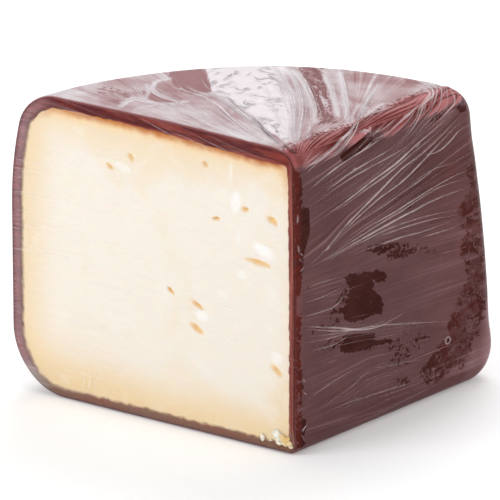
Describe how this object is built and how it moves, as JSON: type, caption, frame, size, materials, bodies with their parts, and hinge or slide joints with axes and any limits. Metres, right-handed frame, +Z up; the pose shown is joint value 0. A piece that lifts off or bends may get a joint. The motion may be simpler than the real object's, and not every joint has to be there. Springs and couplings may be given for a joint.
{
  "type": "wrapped cheese quarter",
  "caption": "Upright quarter of a waxed cheese wheel with one pale cut face, stretch-wrapped in clear film drawn into fine folds.",
  "frame": {"origin": "under the middle of the piece, on the plane of its base", "axes": "+Z up, the cut face looks along -Y and the waxed face along +X"},
  "size_m": [0.1161, 0.1072, 0.1012],
  "materials": {
    "waxed_cheese": "brown wax under clear film, satin with gloss folds"
  },
  "bodies": {
    "root": {"wrapped_cheese": "waxed_cheese"}
  },
  "joints": []
}
